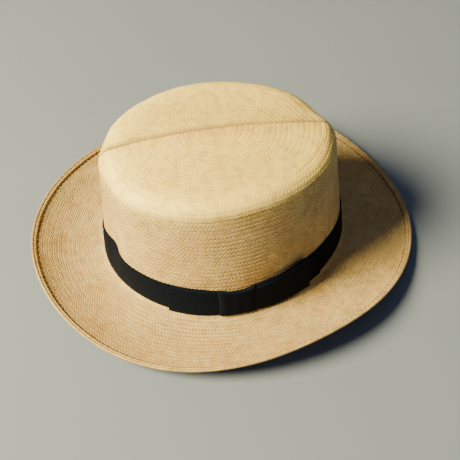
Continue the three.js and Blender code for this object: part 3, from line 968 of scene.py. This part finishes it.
def woven_straw(name, weave, groove, depth, tones, shoulder_ring=None):
    """Groove is how dark the gaps are and depth, in metres, how far the strands stand out."""
    m = new_material(name)
    ring, pick, pillow = weave_pattern(m, *weave)
    place = add(m, "ShaderNodeTexCoord")["Object"]
    broad = add(m, NOISE, None, {"Vector": place, "Scale": 24.0, "Detail": 3.0})[0]
    patch = add(m, NOISE, None, {"Vector": place, "Scale": 55.0, "Detail": 4.0})[0]
    grain = add(m, NOISE, None, {"Vector": place, "Scale": 420.0, "Detail": 2.0})[0]
    blotch = add(m, NOISE, None, {"Vector": place, "Scale": 150.0, "Detail": 5.0})[0]
    dark, middle, light, amber = [linear(tone) for tone in tones]
    colour = add(m, MIX, RGBA, {0: pick, 6: middle, 7: light})[2]
    warm = add(m, RANGE, None, [broad, 0.5, 0.72])[0]
    warm = add(m, MATH, TIMES, [warm, 0.55])[0]
    colour = add(m, MIX, RGBA, {0: warm, 6: colour, 7: amber})[2]
    dull = add(m, RANGE, None, [patch, 0.5, 0.75])[0]
    dull = add(m, MATH, TIMES, [dull, 0.3])[0]
    colour = add(m, MIX, RGBA, {0: dull, 6: colour, 7: middle})[2]
    if shoulder_ring is not None:
        colour = crown_tones_and_painted_light(m, colour, ring, place, patch, shoulder_ring)
    soiled = add(m, RANGE, None, [blotch, 0.46, 0.7, 0.0, 0.34])[0]
    colour = add(m, MIX, RGBA, {0: soiled, 6: colour, 7: dark})[2]
    shade = add(m, MATH, {"operation": "SUBTRACT"}, [1.0, pillow])[0]
    shade = add(m, MATH, TIMES, [shade, groove])[0]
    colour = add(m, MIX, RGBA, {0: shade, 6: colour, 7: dark})[2]
    on_top_of_strand = add(m, MATH, {"operation": "GREATER_THAN"}, [pillow, 0.82])[0]
    fleck = add(m, MATH, {"operation": "GREATER_THAN"}, [pick, FLECK_FROM])[0]
    fleck = add(m, MATH, TIMES, [fleck, on_top_of_strand])[0]
    fleck = add(m, MATH, TIMES, [fleck, 0.8])[0]
    colour = add(m, MIX, RGBA, {0: fleck, 6: colour, 7: linear(FLECK)})[2]
    tight = add(m, RANGE, None, [patch, 0.35, 0.65, 0.45, 1.0])[0]
    height = add(m, MATH, TIMES, [pillow, tight])[0]
    height = add(m, MATH, TIMES_PLUS, [grain, 0.3, height])[0]
    if shoulder_ring is not None:
        firm = add(m, RANGE, None, [ring, shoulder_ring - 3.0, shoulder_ring + 4.0, 0.85, 1.7])[0]
        height = add(m, MATH, TIMES, [height, firm])[0]
    bump = add(m, BUMP, None, {"Strength": 1.0, "Distance": depth, "Height": height})[0]
    rough = add(m, MATH, TIMES_PLUS, [pick, 0.1, 0.42])[0]
    surface(m, {"Base Color": colour, "Roughness": rough, "IOR": 1.45, "Specular IOR Level": 0.6,
                "Specular Tint": linear(WAXY)}, bump)
    return m


# Tones are the gaps, then a dull, a light and an amber strand.
CROWN_TONES = ("#78562d", "#b0955f", "#bea877", "#b3864b")
BRIM_TONES = ("#6c4d29", "#a08758", "#ad996d", "#9e7948")
SHOULDER_RING = (TOP_RADIUS + SHOULDER_ARC) / RING
CROWN_WEAVE = (0.0, 2 * math.pi * RING, TOP_RADIUS / RING + 5, 3.2)
BRIM_WEAVE = (600.0, 2 * math.pi * BRIM_RING, 99.0, 2.8)
HEM_WEAVE = (960.0, 0.0, 1.0, 2.2)
crown_straw = woven_straw("toquilla_straw_crown", CROWN_WEAVE, 0.28, 0.00034, CROWN_TONES, SHOULDER_RING)
brim_straw = woven_straw("toquilla_straw_brim", BRIM_WEAVE, 0.35, 0.0005, BRIM_TONES)
hem_straw = woven_straw("toquilla_straw_hem", HEM_WEAVE, 0.3, 0.0005, BRIM_TONES)
print("straw nodes:", [len(m.node_tree.nodes) for m in (crown_straw, brim_straw, hem_straw)])

# %% [markdown]
# ## Grosgrain, leather, thread, paper
# Grosgrain of rayon and cotton is black with a cool sheen that shows when light rakes along the
# ribs. Vegetable-tanned leather has a fine pebbled grain and darkens where it is handled. Sewing
# thread is two strands twisted together, and the tab is plain matt paper.

# %% Grosgrain
def grosgrain(name, base, lift, sheen):
    m = new_material(name)
    uv = add(m, "ShaderNodeUVMap", {"uv_map": "weave"})[0]
    along = add(m, "ShaderNodeSeparateXYZ", None, [uv])[0]
    rib = add(m, MATH, {"operation": "FRACT"}, [along])[0]
    rib = add(m, MATH, TIMES, [rib, math.pi])[0]
    rib = add(m, MATH, {"operation": "SINE"}, [rib])[0]
    place = add(m, "ShaderNodeTexCoord")["Object"]
    thread = add(m, NOISE, None, {"Vector": place, "Scale": 900.0, "Detail": 2.0})[0]
    cloud = add(m, NOISE, None, {"Vector": place, "Scale": 30.0, "Detail": 2.0})[0]
    # Painted sheen: the rib crests are lightened towards the second colour in cloudy patches.
    lit = add(m, MATH, TIMES, [cloud, rib])[0]
    colour = add(m, MIX, RGBA, {0: lit, 6: linear(base), 7: linear(lift)})[2]
    height = add(m, MATH, TIMES_PLUS, [thread, 0.3, rib])[0]
    bump = add(m, BUMP, None, {"Strength": 0.6, "Distance": 0.00025, "Height": height})[0]
    rough = add(m, MATH, TIMES_PLUS, [thread, 0.15, 0.6])[0]
    surface(m, {"Base Color": colour, "Roughness": rough, "IOR": 1.45, "Specular IOR Level": 0.04,
                "Sheen Weight": sheen, "Sheen Roughness": 0.45, "Sheen Tint": linear("#8fa0b8")}, bump)
    return m


# %% Leather, thread and paper
def tanned_leather(name, base, dark):
    """Pebbles about 1.1 mm across."""
    m = new_material(name)
    place = add(m, "ShaderNodeTexCoord")["Object"]
    pebble = add(m, "ShaderNodeTexVoronoi", {"feature": "F1"}, {"Vector": place, "Scale": 900.0})[0]
    broad = add(m, NOISE, None, {"Vector": place, "Scale": 26.0, "Detail": 4.0})[0]
    colour = add(m, MIX, RGBA, {0: broad, 6: linear(base), 7: linear(dark)})[2]
    pits = add(m, MATH, TIMES, [pebble, 0.35])[0]
    colour = add(m, MIX, RGBA, {0: pits, 6: colour, 7: linear(dark)})[2]
    bump = add(m, BUMP, None, {"Strength": 0.35, "Distance": 0.0002, "Height": pebble})[0]
    rough = add(m, MATH, TIMES_PLUS, [broad, 0.25, 0.38])[0]
    surface(m, {"Base Color": colour, "Roughness": rough, "IOR": 1.5}, bump)
    return m


def sewing_thread(name, base, dark):
    m = new_material(name)
    place = add(m, "ShaderNodeTexCoord")["Object"]
    twist = add(m, "ShaderNodeTexWave", {"bands_direction": "DIAGONAL"},
                {"Vector": place, "Scale": 700.0, "Distortion": 1.5})["Fac"]
    colour = add(m, MIX, RGBA, {0: twist, 6: linear(dark), 7: linear(base)})[2]
    bump = add(m, BUMP, None, {"Strength": 0.5, "Distance": 0.0001, "Height": twist})[0]
    surface(m, {"Base Color": colour, "Roughness": 0.65, "IOR": 1.5}, bump)
    return m


def plain_paper(name, base, dark):
    m = new_material(name)
    place = add(m, "ShaderNodeTexCoord")["Object"]
    fibre = add(m, NOISE, None, {"Vector": place, "Scale": 1400.0, "Detail": 3.0})[0]
    colour = add(m, MIX, RGBA, {0: fibre, 6: linear(base), 7: linear(dark)})[2]
    bump = add(m, BUMP, None, {"Strength": 0.2, "Distance": 0.0001, "Height": fibre})[0]
    surface(m, {"Base Color": colour, "Roughness": 0.85, "IOR": 1.45}, bump)
    return m


band_cloth = grosgrain("grosgrain_black", "#04070f", "#080f1c", 0.03)
leather = tanned_leather("leather_tanned_brown", "#7a4b2a", "#4e2c17")
reed_leather = tanned_leather("leather_reed_cover", "#5f3a20", "#3c2212")
pale_thread = sewing_thread("thread_pale_cotton", "#e3d2ac", "#b49a6c")
# The hem's thread is darker than the straw, so its line shows round the edge. Its dark brown is partly the
# thread's own colour and partly painted shade for the groove beside it.
straw_thread = sewing_thread("thread_dark_brown_and_groove_shade", "#5e4020", "#36220e")
black_thread = sewing_thread("thread_black_cotton", "#15161a", "#08090a")
paper = plain_paper("paper_unprinted", "#efe8d8", "#dcd2bd")

# %% [markdown]
# ## Each piece takes its finish and its place in the frame
# Every piece rides on the hat's one body, and stands for the design's plain solid.

# %% Finish, ride, stand for
def dress(piece, material, slot, *nodes):
    piece.data.materials.append(material)
    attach(piece, "root")
    if nodes:
        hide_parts(*nodes)


dress(crown, crown_straw, "toquilla_straw", "straw_crown")
dress(brim, brim_straw, "toquilla_straw", "straw_brim")
dress(hem, hem_straw, "toquilla_straw", "brim_hem")
dress(hem_thread, straw_thread, "straw_thread", "hem_stitching")
dress(band, band_cloth, "grosgrain", "hatband_ribbon")
bow_nodes = ("bow_front_loop", "bow_rear_loop", "bow_rear_tail", "bow_knot")
for piece, node in zip(bow, bow_nodes):
    dress(piece, band_cloth, "grosgrain", node)
for piece in tacks:
    dress(piece, black_thread, "black_thread")
dress(sweatband, leather, "sweatband_leather", "sweatband")
dress(reed, reed_leather, "reed_covering", "sweatband_reed")
dress(sweat_thread, pale_thread, "pale_thread", "sweatband_stitching")
dress(inside_bow, leather, "sweatband_leather", "sweatband_bow")
dress(size_tab, paper, "paper_tab", "size_tab")

# %% [markdown]
# ## Floor, light and camera
# A plain pale floor under the lowest point of the brim, one large soft lamp from the front left of
# the hat, a weak one from the other side, and a dim even sky. The camera looks down on the bow side.

# %% Floor
def make_floor():
    half = 3000.0
    level = cad_low.z / MM - 0.2
    signs = [(-1, -1), (1, -1), (1, 1), (-1, 1)]
    corners = np.array([[half * i, half * j, level] for i, j in signs])
    floor = new_piece("studio_floor", corners, [[0, 1, 2, 3]])
    m = new_material("floor_pale_matt")
    place = add(m, "ShaderNodeTexCoord")["Object"]
    mottle = add(m, NOISE, None, {"Vector": place, "Scale": 3.0, "Detail": 4.0})[0]
    colour = add(m, MIX, RGBA, {0: mottle, 6: linear("#5b6474"), 7: linear("#656e7f")})[2]
    surface(m, {"Base Color": colour, "Roughness": 0.8, "Specular IOR Level": 0.2})
    floor.data.materials.append(m)
    return floor


floor = make_floor()
print("floor height in mm:", round(floor.data.vertices[0].co.z / MM, 1))


# %% Lamps and sky
def add_lamp(name, place, aim, size, watts, colour):
    data = bpy.data.lights.new(name, "AREA")
    data.shape = "DISK"
    data.size = size
    data.energy = watts
    data.color = linear(colour)[:3]
    lamp = bpy.data.objects.new(name, data)
    lamp.location = place
    lamp.rotation_euler = (Vector(aim) - Vector(place)).to_track_quat("-Z", "Y").to_euler()
    bpy.context.scene.collection.objects.link(lamp)
    return lamp


HAT_MIDDLE = (0.0, 0.0, 0.05)            # both lamps aim here, in metres
KEY_PLACE, KEY_SIZE, KEY_WATTS = (0.262, -1.479, 1.34), 1.0, 290.0
FILL_PLACE, FILL_SIZE, FILL_WATTS = (1.4, 1.2, 1.0), 1.5, 2.0
SKY_STRENGTH = 0.24
add_lamp("key_lamp", KEY_PLACE, HAT_MIDDLE, KEY_SIZE, KEY_WATTS, "#ffeeb6")
add_lamp("fill_lamp", FILL_PLACE, HAT_MIDDLE, FILL_SIZE, FILL_WATTS, "#e6eefc")
world = bpy.data.worlds.new("soft_sky")
bpy.context.scene.world = world
world.use_nodes = True
world.node_tree.nodes["Background"].inputs[0].default_value = linear("#dce4f6")
world.node_tree.nodes["Background"].inputs[1].default_value = SKY_STRENGTH
print("lamps in watts:", KEY_WATTS, FILL_WATTS)


# %% Camera
CAMERA_AZIMUTH, CAMERA_ELEVATION, CAMERA_ROLL = 6.81, 48.39, -2.16      # in degrees, from the bow's side
CAMERA_DISTANCE = 0.70065                # in metres
CAMERA_TARGET = (4.71, 4.84, 3.58)       # in mm
SENSOR_WIDTH, LENS_LENGTH = 36.0, 64.131652


def make_camera():
    azimuth, elevation = math.radians(CAMERA_AZIMUTH), math.radians(CAMERA_ELEVATION)
    roll = math.radians(CAMERA_ROLL)
    distance = CAMERA_DISTANCE
    target = Vector(CAMERA_TARGET) * MM
    level = math.cos(elevation)
    back = Vector((math.cos(azimuth) * level, -math.sin(azimuth) * level, math.sin(elevation)))
    right = (-back).cross(Vector((0, 0, 1))).normalized()
    up = right.cross(-back)
    turned_right = math.cos(roll) * right + math.sin(roll) * up
    turned_up = -math.sin(roll) * right + math.cos(roll) * up
    data = bpy.data.cameras.new("camera")
    data.sensor_width = SENSOR_WIDTH
    data.lens = LENS_LENGTH
    data.clip_start, data.clip_end = 0.01, 20
    camera = bpy.data.objects.new("camera", data)
    turn = Matrix((turned_right, turned_up, back)).transposed().to_4x4()
    camera.matrix_world = Matrix.Translation(target + back * distance) @ turn
    bpy.context.scene.collection.objects.link(camera)
    bpy.context.scene.camera = camera
    return camera


camera = make_camera()
print("lens in mm:", round(camera.data.lens, 2))
